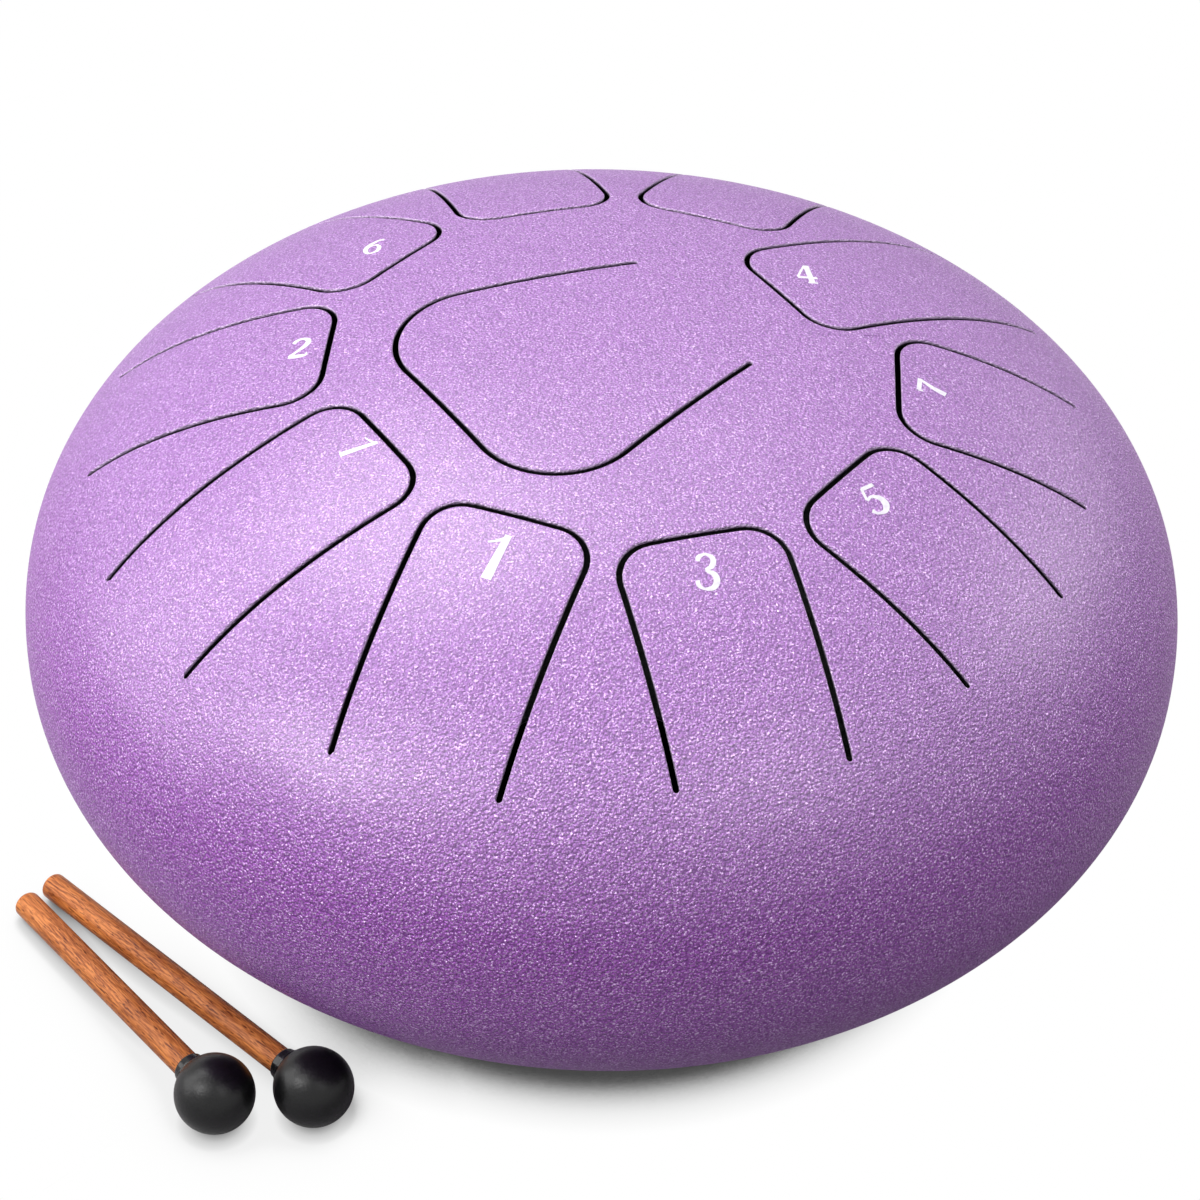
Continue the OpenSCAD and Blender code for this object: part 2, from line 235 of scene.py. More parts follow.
def makeCoat(finish):
    # Cells with creases between them, and a finer noise on top, give the wrinkles' height, and the colour
    # darkens towards the creases as painted shade.
    # The noise's crests are metallic flakes, painted paler as glints.
    material, tree, shader = startMaterial("lilac_wrinkle_coat")
    place = addNode(tree, "ShaderNodeTexCoord").outputs["Object"]
    grain = addNoise(tree, place, **finish["grain"]).outputs[0]
    shake = addNoise(tree, place, **finish["shake"]).outputs["Color"]
    shake = addNode(tree, "ShaderNodeVectorMath", {0: shake, 1: (0.5,) * 3}, operation="SUBTRACT").outputs[0]
    inputs = {0: shake, 1: (finish["cellShake"],) * 3, 2: place}
    shaken = addNode(tree, "ShaderNodeVectorMath", inputs, operation="MULTIPLY_ADD").outputs[0]
    inputs = {"Vector": shaken, "Scale": finish["cellScale"]}
    cells = addNode(tree, "ShaderNodeTexVoronoi", inputs, feature="F1").outputs["Distance"]
    relief = addMath(tree, "SUBTRACT", 1.0, cells)
    relief = addMath(tree, "MULTIPLY_ADD", grain, finish["grainShare"], relief)
    # painted shade: the colour darkens from each cell's middle towards its crease
    colour = addRamp(tree, cells, finish["tones"])
    height = addNode(tree, "ShaderNodeSeparateXYZ", {0: place}).outputs["Z"]
    # painted sheen: the coat turns paler towards the top, between the two heights
    heights = (finish["paintedSheenFrom"], finish["paintedSheenTo"])
    paintedSheenMix = addRange(tree, height, *heights, 0.0, finish["paintedSheenShare"], "SMOOTHSTEP")
    colour = mixColours(tree, paintedSheenMix, colour, finish["paintedSheen"])
    flecksAndGlints = addRange(tree, grain, finish["fleckFrom"], finish["fleckTo"])
    # painted glint: the flakes on the crests are coloured paler than the coat
    colour = mixColours(tree, flecksAndGlints, colour, finish["fleckGlint"])
    depth = addNode(tree, "ShaderNodeAttribute", attribute_name="coatDepth").outputs["Fac"]
    # painted highlight: paler over the first part of the slots' rounded edges
    edge = addRange(tree, depth, finish["edgeHighlightFrom"], finish["edgeHighlightTo"], 0.0, finish["edgeHighlightShare"])
    colour = mixColours(tree, edge, colour, finish["edge"])
    # painted shade: near black below the edges' rounding, in the slots and inside the drum
    paintedSlotShade = addRange(tree, depth, finish["slotShadeFrom"], finish["slotShadeTo"])
    colour = mixColours(tree, paintedSlotShade, colour, finish["inside"])
    tree.links.new(colour, shader.inputs["Base Color"])
    for socket, plain, flecked in (("Metallic", "metallic", "fleckMetallic"),
                                   ("Roughness", "roughness", "fleckRoughness")):
        value = addRange(tree, flecksAndGlints, 0.0, 1.0, finish[plain], finish[flecked])
        tree.links.new(value, shader.inputs[socket])
    shader.inputs["Specular IOR Level"].default_value = finish["specular"]
    shader.inputs["Coat Weight"].default_value = finish["lacquer"]
    shader.inputs["Coat Roughness"].default_value = finish["lacquerRoughness"]
    shader.inputs["Coat IOR"].default_value = finish["lacquerIndex"]
    addBump(tree, shader, relief, finish)
    return material


coat = makeCoat(coatFinish)

paintFinish = dict(
    colour=(0.80, 0.76, 0.86),
    pale=(0.93, 0.92, 0.95),
    scale=900.0,
    roughness=0.45,
    specular=0.4,
)
woodFinish = dict(
    tones=[(0.28, (0.22, 0.052, 0.015)), (0.46, (0.54, 0.163, 0.043)), (0.62, (0.80, 0.290, 0.080))],
    pore=(0.15, 0.031, 0.012),
    poreShares=[(0.60, (0.0, 0.0, 0.0)), (0.68, (1.0, 1.0, 1.0))],
    cloudTones=[(0.32, (0.76, 0.70, 0.66)), (0.56, (1.0, 1.0, 1.0))],
    grain=dict(scale=(230.0, 2900.0, 2900.0), detail=4.0, twist=0.4),  # per metre along and across the stick
    pores=dict(scale=(330.0, 3400.0, 3400.0), detail=1.0, twist=0.0),
    clouds=dict(scale=(38.0, 330.0, 330.0), detail=2.0, twist=0.6),
    roughness=0.36,
    specular=0.20,
    bumpStrength=0.5,
    bumpDepth=0.00005,
)
headFinish = dict(
    colour=(0.0022, 0.0022, 0.0024),
    pale=(0.006, 0.006, 0.0065),
    scale=1700.0,
    roughness=0.34,
    specular=0.36,
    bumpStrength=0.8,
    bumpDepth=0.00006,
)
collarFinish = dict(
    colour=(0.008, 0.008, 0.009),
    pale=(0.014, 0.014, 0.015),
    scale=300.0,
    roughness=0.16,
    specular=0.35,
)
footFinish = dict(
    colour=(0.012, 0.012, 0.012),
    pale=(0.028, 0.028, 0.028),
    scale=1100.0,
    roughness=0.62,
    specular=0.4,
    bumpStrength=0.8,
    bumpDepth=0.00006,
)
steelFinish = dict(
    colour=(0.33, 0.32, 0.31),
    pale=(0.50, 0.49, 0.48),
    scale=500.0,
    roughness=0.32,
    specular=0.5,
    metallic=1.0,
)
mottlePattern = dict(  # shared by all finishes but the coat and the wood
    detail=3.0,
    tonePlaces=(0.35, 0.68),
    roughPlaces=(0.3, 0.7),
    roughSpread=0.06,
)


def makeMottled(name, finish):
    # two tones of one noise, which also varies the roughness and, with a bump depth, roughens the surface
    material, tree, shader = startMaterial(name)
    place = addNode(tree, "ShaderNodeTexCoord").outputs["Object"]
    grain = addNoise(tree, place, finish["scale"], mottlePattern["detail"]).outputs[0]
    tones = zip(mottlePattern["tonePlaces"], (finish["colour"], finish["pale"]))
    tree.links.new(addRamp(tree, grain, list(tones)), shader.inputs["Base Color"])
    low, high = (finish["roughness"] + sign * mottlePattern["roughSpread"] for sign in (-1, 1))
    rough = addRange(tree, grain, *mottlePattern["roughPlaces"], low, high)
    tree.links.new(rough, shader.inputs["Roughness"])
    shader.inputs["Metallic"].default_value = finish.get("metallic", 0.0)
    shader.inputs["Specular IOR Level"].default_value = finish["specular"]
    if "bumpDepth" in finish:
        addBump(tree, shader, grain, finish)
    return material


def makeWood(finish):
    # long streaks, short dark pores and broad clouds, all stretched along the stick by its own places
    material, tree, shader = startMaterial("stick_wood")
    place = addNode(tree, "ShaderNodeAttribute", attribute_name="ownPlace").outputs["Vector"]

    def stretched(pattern):
        moved = addNode(tree, "ShaderNodeMapping", {"Vector": place, "Scale": pattern["scale"]}).outputs[0]
        return addNoise(tree, moved, 1.0, pattern["detail"], pattern["twist"]).outputs[0]

    grain, pores, clouds = (stretched(finish[key]) for key in ("grain", "pores", "clouds"))
    colour = addRamp(tree, grain, finish["tones"])
    colour = mixColours(tree, addRamp(tree, pores, finish["poreShares"]), colour, finish["pore"])
    colour = mixColours(tree, 1.0, colour, addRamp(tree, clouds, finish["cloudTones"]), "MULTIPLY")
    tree.links.new(colour, shader.inputs["Base Color"])
    shader.inputs["Roughness"].default_value = finish["roughness"]
    shader.inputs["Specular IOR Level"].default_value = finish["specular"]
    addBump(tree, shader, grain, finish)
    return material


paint = makeMottled("digit_paint", paintFinish)
wood = makeWood(woodFinish)
headRubber = makeMottled("head_rubber", headFinish)
collarGloss = makeMottled("collar_gloss", collarFinish)
footRubber = makeMottled("foot_rubber", footFinish)
steel = makeMottled("screw_steel", steelFinish)

print("shape of the drum")
drumShape = dict(  # metres; the powers are the domes' superellipse exponents
    radius=0.1525,
    wall=0.0016,
    crownPower=2.25,
    bellyHeight=0.081,
    bellyPower=2.0,
    soundHole=0.075,
    weldHalf=0.0012,  # half the weld's height
    weldDepth=0.001,
    lipHeight=0.006,  # of the belly's lip above the seam
    lipRoot=0.008,  # where the belly turns into the lip, below the seam
    lipClear=0.0002,
    lipDraw=0.0002,  # how much narrower the crown is at the lip's top than at the seam
    holeEdge=0.0007,
)
drumSteps = dict(around=240, rimRows=26, rimCrowding=0.8, outside=70, inside=50, holeEdge=9, weld=5)
rimRadius = drumShape["radius"]
rimHeight = (seamLow.z + seamHigh.z) / 2
crownHeight = crownTop - rimHeight


def crownZ(radius, depth):
    # z = rim + h (1 - (r / R)^p)^(1/p), with h and R less the depth below the outer face
    power = drumShape["crownPower"]
    share = np.clip(radius / (rimRadius - depth), 0, 1)
    return rimHeight + (crownHeight - depth) * (1 - share ** power) ** (1 / power)


def onCrown(flat, depth):
    # points of the plan lifted onto the crown, or onto the face that lies depth below it
    z = crownZ(np.hypot(flat[..., 0], flat[..., 1]), depth)
    return np.concatenate([flat, z[..., None]], axis=-1)


tongueLayout = dict(
    names=["tongue_low_1", "tongue_3", "tongue_5", "tongue_7", "tongue_4",
           "tongue_back_right", "tongue_back_left", "tongue_6", "tongue_2", "tongue_high_1"],
    turns=[-109.6, -73.1, -37, -2.1, 33.9, 70.6, 106.3, 141, 176.8, 213.5],  # degrees
    tipShares=[0.93, 0.993, 1.013, 1.048, 0.754, 1.046, 1.022, 1.013, 1.017, 0.908],  # of the tips' ring
    rootShares=[0.842, 0.826, 0.81, 0.795, 0.816, 0.83, 0.84, 0.848, 0.856, 0.855],  # of the drum's radius
    shiftShares=[0.029, 0.033, 0.018, 0.011, 0, -0.015, -0.026, 0, -0.029, -0.044],  # of the width
    tipRing=0.07,
    width=0.0418,
    corner=0.0096,
    slot=0.0015,
    edge=0.0004,  # rounding of the slots' edges
    outerRing=0.1355,  # radius at which the plain rim starts
    tipLand=0.0025,  # width of the strip that goes round each tip
)
centreLayout = dict(
    name="tongue_centre",
    turn=34,  # degrees, towards its root
    facing=4,  # number of the rim tongue that lies that way
    tip=-0.0466,
    root=0.0269,
    tipWidth=0.0936,
    rootWidth=0.0522,
    corner=0.0219,
    shift=0.0024,
)
# mesh steps along half an outline: root line, slot's round end, side, tip corner, tip
rimSteps = dict(root=10, end=8, side=26, corner=10, tip=6)
centreSteps = dict(root=24, end=12, side=66, corner=32, tip=26)
edgeSteps = 5


def rimTongue(i):
    own, width = tongueLayout, tongueLayout["width"]
    return dict(
        name=own["names"][i],
        turn=math.radians(own["turns"][i]),
        tip=own["tipRing"] * own["tipShares"][i],
        root=rimRadius * own["rootShares"][i],
        shift=width * own["shiftShares"][i],
        tipHalf=width / 2,
        rootHalf=width / 2,
        corner=own["corner"],
        steps=rimSteps,
    )


rimTongues = [rimTongue(i) for i in range(len(tongueLayout["names"]))]
centreTongue = dict(
    centreLayout,
    turn=math.radians(centreLayout["turn"]),
    tipHalf=centreLayout["tipWidth"] / 2,
    rootHalf=centreLayout["rootWidth"] / 2,
    steps=centreSteps,
)


def line(start, end, steps):
    # P(t) = start (1 - t) + end t
    share = np.linspace(0, 1, steps + 1)[:, None]
    return np.asarray(start) * (1 - share) + np.asarray(end) * share


def halfOutline(tongue, g, opening):
    # Half of a trapezoid with round tip corners, from the middle of the root line to the middle of the tip.
    # g is the distance from the slot's centre line: outwards for the opening, inwards for the tongue.
    steps = tongue["steps"]
    along = np.array([tongue["root"] - tongue["tip"], tongue["rootHalf"] - tongue["tipHalf"]])
    along /= np.linalg.norm(along)
    out = np.array([-along[1], along[0]])
    root = np.array([tongue["root"], tongue["rootHalf"]])
    start = root - g * out
    side = 1 if opening else -1
    aside = tongue["tipHalf"] + tongue["corner"] * (along[1] - 1) / along[0]
    middle = np.array([tongue["tip"] + tongue["corner"], aside])
    angle = np.linspace(math.atan2(out[1], out[0]), math.pi, steps["corner"] + 1)[:, None]
    corner = middle + (tongue["corner"] + side * g) * np.hstack([np.cos(angle), np.sin(angle)])
    parts = [line((start[0], 0), start, steps["root"])]
    if opening:  # the slot's round end goes from the tongue's side round to the shell's side
        turn = np.linspace(0, math.pi, steps["end"] + 1)[:, None]
        parts.append(root + g * (along * np.sin(turn) - out * np.cos(turn)))
    parts.append(line(parts[-1][-1], corner[0], steps["side"]))
    parts.append(corner)
    parts.append(line(corner[-1], (corner[-1][0], 0), steps["tip"]))
    return np.concatenate([parts[0]] + [part[1:] for part in parts[1:]])


def toPlan(tongue, flat):
    # from the tongue's own frame, x outwards along it and y to its side, to the drum's plan
    cosine, sine = math.cos(tongue["turn"]), math.sin(tongue["turn"])
    x, y = flat[..., 0], flat[..., 1] + tongue["shift"]
    return np.stack([x * cosine - y * sine, x * sine + y * cosine], axis=-1)


def wallRings():
    # (distance from the slot's centre line, depth): a quarter round, the cut wall, and a quarter round below
    edge, half, wall = tongueLayout["edge"], tongueLayout["slot"] / 2, drumShape["wall"]
    turn = np.linspace(0, math.pi / 2, edgeSteps)
    upper = [(half + edge * (1 - math.sin(a)), edge * (1 - math.cos(a))) for a in turn]
    return upper + [(g, wall - depth) for g, depth in reversed(upper)]


rings = wallRings()
ringDepths = [depth for g, depth in rings]
crownFaces = ((rings[0][0], 0.0), (rings[-1][0], drumShape["wall"]))
cornerAt = rimSteps["root"] + rimSteps["end"] + rimSteps["side"]
endAt = rimSteps["root"] + rimSteps["end"]


def openingLoop(tongue, g):
    # the whole outline as one loop: a half, and its mirror image back again
    half = halfOutline(tongue, g, True)
    return toPlan(tongue, np.concatenate([half, (half * (1, -1))[-2:0:-1]]))


def sectorBoundary(i, side):
    # The line, shared with the neighbour, up to which the strip round an opening reaches. It follows
    # the outer ring to a line half way between the two slots, comes in along it, and passes round the tip.
    count = len(rimTongues)
    own, other = rimTongues[i], rimTongues[(i + side) % count]
    g, steps = tongueLayout["slot"] / 2, rimSteps
    flat = halfOutline(own, g, True)
    mine = toPlan(own, flat * (1, side))
    theirs = toPlan(other, halfOutline(other, g, True) * (1, -side))
    inner = (mine[cornerAt] + theirs[cornerAt]) / 2
    between = (mine[endAt] + theirs[endAt]) / 2
    first = math.atan2(mine[0][1], mine[0][0])
    last = math.atan2(between[1], between[0])
    last += 2 * math.pi * round((first - last) / (2 * math.pi))
    angle = np.linspace(first, last, endAt + 1)[:, None]
    arc = tongueLayout["outerRing"] * np.hstack([np.cos(angle), np.sin(angle)])
    middle = flat[cornerAt + steps["corner"]] + (own["corner"] + g, 0)
    away = np.tile((-1.0, 0.0), (len(flat) - cornerAt, 1))
    away[:steps["corner"]] = (flat[cornerAt:cornerAt + steps["corner"]] - middle) / (own["corner"] + g)
    tipSide = toPlan(own, (flat[cornerAt:] + away * tongueLayout["tipLand"]) * (1, side))
    share = np.clip(1 - np.arange(len(tipSide)) / steps["corner"], 0, 1)[:, None] ** 2
    tipSide = tipSide * (1 - share) + (mine[cornerAt:] + inner - mine[cornerAt]) * share
    return np.concatenate([arc, line(arc[-1], inner, steps["side"])[1:], tipSide[1:]])


boundaries = {(i, side): sectorBoundary(i, side) for i in range(len(rimTongues)) for side in (-1, 1)}
stripShares = np.array([0, 0.05, 0.22, 0.45, 0.7, 1.0])[:, None, None]  # of the way from slot to boundary


def stripPatch(inner, outer, depth):
    # P(s, t) = inner(s) (1 - t) + outer(s) t, lifted onto the crown
    return onCrown(inner[None] * (1 - stripShares) + outer[None] * stripShares, depth)


def ringColumns():
    # angles of the columns of the plain rim, in order round the drum
    angles = []
    for i in range(len(rimTongues)):
        for side, keep in ((-1, slice(endAt, 0, -1)), (1, slice(0, endAt))):
            x, y = boundaries[i, side][keep].T
            angles.append(np.arctan2(y, x))
    return np.unwrap(np.concatenate(angles))


def superPoint(t, radius, height, power):
    # a point of a dome's profile: r = R cos^(2/p) t, z = rim + h sin^(2/p) t, with h below zero for the belly
    r, z = radius * np.cos(t) ** (2 / power), rimHeight + height * np.sin(t) ** (2 / power)
    return np.stack([r, z], axis=-1)


def angleAt(share, power):
    # the t at which the height is this share of the dome's, from sin^(2/p) t = share
    return math.asin(share ** (power / 2))


def rimRows(depth):
    # the crown's profile from the outer ring to just above the seam, with its rows closer near the seam
    power = drumShape["crownPower"]
    radius, height = rimRadius - depth, crownHeight - depth
    last = angleAt(drumShape["weldHalf"] / crownHeight, power) if depth == 0 else 0.0
    first = math.acos((tongueLayout["outerRing"] / radius) ** (power / 2))
    t = first + (last - first) * np.linspace(0, 1, drumSteps["rimRows"]) ** drumSteps["rimCrowding"]
    profile = superPoint(t, radius, height, power)
    profile[0] = (tongueLayout["outerRing"], crownZ(tongueLayout["outerRing"], depth))
    return profile


def revolved(profile, angles):
    # every profile point (r, z) carried round the drum's axis: (r cos a, r sin a, z)
    r, z = profile[:, 0][:, None], profile[:, 1][:, None]
    return np.stack([r * np.cos(angles), r * np.sin(angles), z + 0 * angles], axis=-1)


def innerLoop():
    # the strips' edges in front of all tips, anticlockwise from the tip that faces the centre tongue's root
    count, loop = len(rimTongues), []
    for k in range(count):
        i = (centreLayout["facing"] + k) % count
        loop.append(boundaries[i, 1][cornerAt:][::-1][:-1])
        loop.append(boundaries[(i + 1) % count, -1][cornerAt:-1])
    return np.concatenate(loop)


def makeCrown():
    # outer and inner face, the walls of all slots, and the edge that the weld covers
    patches, depths = [], []
    angles = ringColumns()
    for g, depth in crownFaces:
        start = len(patches)
        for i, tongue in enumerate(rimTongues):
            for side in (-1, 1):
                flat = toPlan(tongue, halfOutline(tongue, g, True) * (1, side))
                patches.append((stripPatch(flat, boundaries[i, side], depth), False))
        patches.append((stripPatch(openingLoop(centreTongue, g), innerLoop(), depth), True))
        patches.append((revolved(rimRows(depth), angles), True))
        depths += [depth] * (len(patches) - start)
    for tongue in rimTongues + [centreTongue]:
        patches.append((np.stack([onCrown(openingLoop(tongue, g), depth) for g, depth in rings]), True))
        depths.append(ringDepths)
    groove = rimRadius - drumShape["weldDepth"]
    closing = np.array([rimRows(0.0)[-1], (groove, rimHeight), rimRows(drumShape["wall"])[-1]])
    patches.append((revolved(closing, angles), True))
    depths.append([0.0, 0.0, drumShape["wall"]])
    makePiece("crown", patches, "drum", coat, ["top_shell"], depths=depths)


makeCrown()

print("tongues")
noteShares = np.linspace(-1, 1, 19)  # columns across a tongue
noteShares[[1, -2]] = (-0.965, 0.965)


def tongueGrid(tongue, g):
    # rows follow the side and the round corner from root to tip, columns share out the width
    steps = tongue["steps"]
    half = halfOutline(tongue, g, False)[steps["root"]:-steps["tip"]]
    return toPlan(tongue, np.stack([half[:, :1] + 0 * noteShares, half[:, 1:] * noteShares], axis=-1))


def gridEdge(grid):
    # the grid's outermost points as one loop
    return np.concatenate([grid[:-1, 0], grid[-1, :-1], grid[:0:-1, -1], grid[0, :0:-1]])


def makeTongue(tongue):
    # outer and inner face, and the cut edge between them
    patches = [(onCrown(tongueGrid(tongue, g), depth), False) for g, depth in crownFaces]
    patches.append((np.stack([onCrown(gridEdge(tongueGrid(tongue, g)), depth) for g, depth in rings]), True))
    depths = [depth for g, depth in crownFaces] + [ringDepths]
    name = tongue["name"]
    makePiece(name.replace("tongue", "note"), patches, name, coat, [name], depths=depths)


for tongue in rimTongues + [centreTongue]:
    makeTongue(tongue)

print("belly and rim")


def bellyPoint(t, depth):
    # a point of the belly's outer face, or of the face that lies depth inside it
    return superPoint(t, rimRadius - depth, depth - drumShape["bellyHeight"], drumShape["bellyPower"])


def bellyProfile():
    # down the outside to the sound hole, round its edge, up the inside to the lip, and back over the lip
    shape, power = drumShape, drumShape["bellyPower"]
    wall, edge, height = shape["wall"], shape["holeEdge"], shape["bellyHeight"]
    hole = shape["soundHole"] / 2 + edge
    first = angleAt(shape["weldHalf"] / height, power)
    last = math.acos((hole / rimRadius) ** (power / 2))
    outside = bellyPoint(np.linspace(first, last, drumSteps["outside"]), 0.0)
    first = math.acos((hole / (rimRadius - wall)) ** (power / 2))
    last = angleAt(shape["lipRoot"] / (height - wall), power)
    inside = bellyPoint(np.linspace(first, last, drumSteps["inside"]), wall)
    middle = (outside[-1] + inside[0]) / 2
    spoke = (outside[-1] - inside[0]) / 2
    turn = np.linspace(0, math.pi, drumSteps["holeEdge"])[1:-1, None]
    edgeRound = middle + spoke * np.cos(turn) + np.array([-edge, 0.0]) * np.sin(turn)
    lipRadius = (rimRadius - wall) - shape["lipDraw"] - shape["lipClear"]
    foot, top = rimHeight - shape["lipRoot"] + wall, rimHeight + shape["lipHeight"]
    lip = np.array([(lipRadius - wall, foot), (lipRadius - wall, top), (lipRadius, top),
                    (lipRadius, rimHeight), (rimRadius - shape["weldDepth"], rimHeight), outside[0]])
    depths = np.concatenate([np.zeros(len(outside)), wall * np.linspace(0, 1, len(edgeRound)),
                             np.full(len(inside) + len(lip) - 1, wall), [0]])
    return np.concatenate([outside, edgeRound, inside, lip]), depths


aroundDrum = np.linspace(0, 2 * math.pi, drumSteps["around"], endpoint=False)
bellyRows, bellyDepths = bellyProfile()
makePiece("belly", [(revolved(bellyRows, aroundDrum), True)], "drum", coat, ["bottom_shell"],
          depths=[bellyDepths])


def weldProfile():
    # ground flush with both shells: the crown's curve above the seam, the belly's curve below it
    power, half, steps = drumShape["crownPower"], drumShape["weldHalf"], drumSteps["weld"]
    down = np.linspace(angleAt(half / crownHeight, power), 0, steps)
    above = superPoint(down, rimRadius, crownHeight, power)
    last = angleAt(half / drumShape["bellyHeight"], drumShape["bellyPower"])
    below = bellyPoint(np.linspace(0, last, steps), 0.0)
    return np.concatenate([above, below[1:], [(rimRadius - drumShape["weldDepth"], rimHeight), above[0]]])


makePiece("rim_weld", [(revolved(weldProfile(), aroundDrum), True)], "drum", coat,
          ["seam_weld"])

print("digits")
# Each digit is a list of strokes, and a stroke a list of (x, y, half its width).
# They are shares of the digit's height.
digitStrokes = dict(
    one=[[(0.20, 0.0, 0.095), (0.20, 1.0, 0.06)],
         [(-0.06, 0.74, 0.02), (0.07, 0.82, 0.03), (0.2, 0.92, 0.055)]],
    two=[[(0.07, 0.74, 0.06), (0.10, 0.86, 0.06), (0.3, 0.97, 0.045), (0.52, 0.86, 0.075), (0.5, 0.62, 0.08),
          (0.28, 0.33, 0.05), (0.05, 0.07, 0.05)],
         [(0.03, 0.06, 0.06), (0.3, 0.06, 0.075), (0.58, 0.09, 0.05), (0.62, 0.22, 0.02)]],
    three=[[(0.07, 0.76, 0.06), (0.09, 0.87, 0.065), (0.28, 0.97, 0.035), (0.48, 0.87, 0.075),
            (0.47, 0.67, 0.075), (0.28, 0.54, 0.03)],
           [(0.28, 0.53, 0.03), (0.54, 0.43, 0.08), (0.60, 0.25, 0.09), (0.50, 0.08, 0.07),
            (0.27, 0.03, 0.035), (0.11, 0.11, 0.06), (0.07, 0.24, 0.06)]],
    four=[[(0.38, 0.97, 0.03), (0.2, 0.65, 0.03), (0.02, 0.33, 0.03)],
          [(0.02, 0.31, 0.045), (0.68, 0.31, 0.045)],
          [(0.45, 1.0, 0.08), (0.45, 0.0, 0.08)],
          [(0.3, 0.03, 0.03), (0.62, 0.03, 0.03)]],
    five=[[(0.13, 0.93, 0.05), (0.57, 1.03, 0.05)],
          [(0.12, 0.95, 0.04), (0.08, 0.52, 0.035)],
          [(0.08, 0.52, 0.04), (0.3, 0.62, 0.04), (0.55, 0.5, 0.08), (0.6, 0.28, 0.09), (0.45, 0.06, 0.06),
           (0.2, 0.03, 0.035), (0.05, 0.14, 0.06)]],
    six=[[(0.60, 0.93, 0.045), (0.38, 0.88, 0.05), (0.12, 0.58, 0.08), (0.06, 0.3, 0.085),
          (0.18, 0.07, 0.06), (0.35, 0.02, 0.035), (0.55, 0.15, 0.07), (0.57, 0.38, 0.075),
          (0.42, 0.57, 0.04), (0.25, 0.54, 0.03), (0.12, 0.42, 0.03)]],
    seven=[[(0.02, 0.93, 0.06), (0.6, 0.93, 0.06)],
           [(0.03, 0.78, 0.025), (0.03, 0.95, 0.04)],
           [(0.58, 0.93, 0.03), (0.36, 0.5, 0.06), (0.22, 0.0, 0.08)]],
)
# tongue, digit, middle along and aside, height and width in metres, turn in degrees, boldness
digitLayout = [
    ("tongue_low_1", "one", (0.0777, -0.0001), 0.0129, 0.0055, 3, 0.95),
    ("tongue_3", "three", (0.0803, 0.0014), 0.0102, 0.0058, 17, 1.0),
    ("tongue_5", "five", (0.0810, 0.0011), 0.0084, 0.0059, 27, 1.25),
    ("tongue_7", "seven", (0.0820, 0.0008), 0.0074, 0.0062, 5, 1.35),
    ("tongue_4", "four", (0.0654, 0.0051), 0.0094, 0.0062, 114, 1.2),
    ("tongue_6", "six", (0.0839, -0.0032), 0.0090, 0.0048, -119, 1.15),
    ("tongue_2", "two", (0.0789, -0.0027), 0.0083, 0.0053, -85, 1.15),
    ("tongue_high_1", "one", (0.0699, -0.0041), 0.0095, 0.0040, 17, 0.70),
]
digitRelief = dict(
    raised=0.00005,  # metres above the coat
    step=0.000008,  # by which each next stroke stands higher
    sunk=0.0003,
    alongSteps=10,  # between two points of a stroke
    acrossSteps=5,
)


def smoothPath(points, steps):
    # Catmull-Rom curve through the points, with steps places between each two of them
    points = np.asarray(points, float)
    padded = np.concatenate([2 * points[:1] - points[1:2], points, 2 * points[-1:] - points[-2:-1]])
    a, b, c, d = (padded[k:len(padded) - 3 + k, None] for k in range(4))
    t = np.linspace(0, 1, steps, endpoint=False)[None, :, None]
    curve = b + 0.5 * ((c - a) * t + (2 * a - 5 * b + 4 * c - d) * t ** 2 + (3 * b - a - 3 * c + d) * t ** 3)
    return np.concatenate([curve.reshape(-1, points.shape[1]), points[-1:]])


def strokePatches(stroke, toDrum, raised):
    # P(s, u) = C(s) + u w(s) N(s), on the crown above and sunk into it below, closed at the sides and ends
    path = smoothPath(stroke, digitRelief["alongSteps"])
    tangent = np.gradient(path[:, :2], axis=0)
    normal = np.stack([-tangent[:, 1], tangent[:, 0]], axis=-1) / np.linalg.norm(tangent, axis=1)[:, None]
    u = np.linspace(-1, 1, digitRelief["acrossSteps"])[None, :, None]
    flat = toDrum(path[:, None, :2] + u * path[:, None, 2:] * normal[:, None])
    top, low = onCrown(flat, -raised), onCrown(flat, digitRelief["sunk"])
    sides = [np.stack([top[:, k], low[:, k]]) for k in (0, -1)]
    ends = [np.stack([top[k], low[k]]) for k in (0, -1)]
    return [(patch, False) for patch in [top, low] + sides + ends]


def makeDigit(tongueName, digit, middle, height, width, turn, boldness):
    tongue = next(t for t in rimTongues if t["name"] == tongueName)
    strokes = [[(x, y, w * boldness) for x, y, w in stroke] for stroke in digitStrokes[digit]]
    left = min(x - w for stroke in strokes for x, y, w in stroke)
    right = max(x + w for stroke in strokes for x, y, w in stroke)
    stretch = width / (right - left) / height
    cosine, sine = math.cos(math.radians(turn)), math.sin(math.radians(turn))
    rightward, upward = np.array([sine, cosine]), np.array([-cosine, sine])

    def toDrum(places):
        x = (places[..., :1] - (left + right) / 2) * stretch * height
        y = (places[..., 1:] - 0.5) * height
        return toPlan(dict(tongue, shift=0), np.array(middle) + x * rightward + y * upward)

    patches = []
    for k, stroke in enumerate(strokes):
        patches += strokePatches(stroke, toDrum, digitRelief["raised"] + k * digitRelief["step"])
    makePiece(tongueName.replace("tongue", "digit"), patches, tongueName, paint)


for entry in digitLayout:
    makeDigit(*entry)

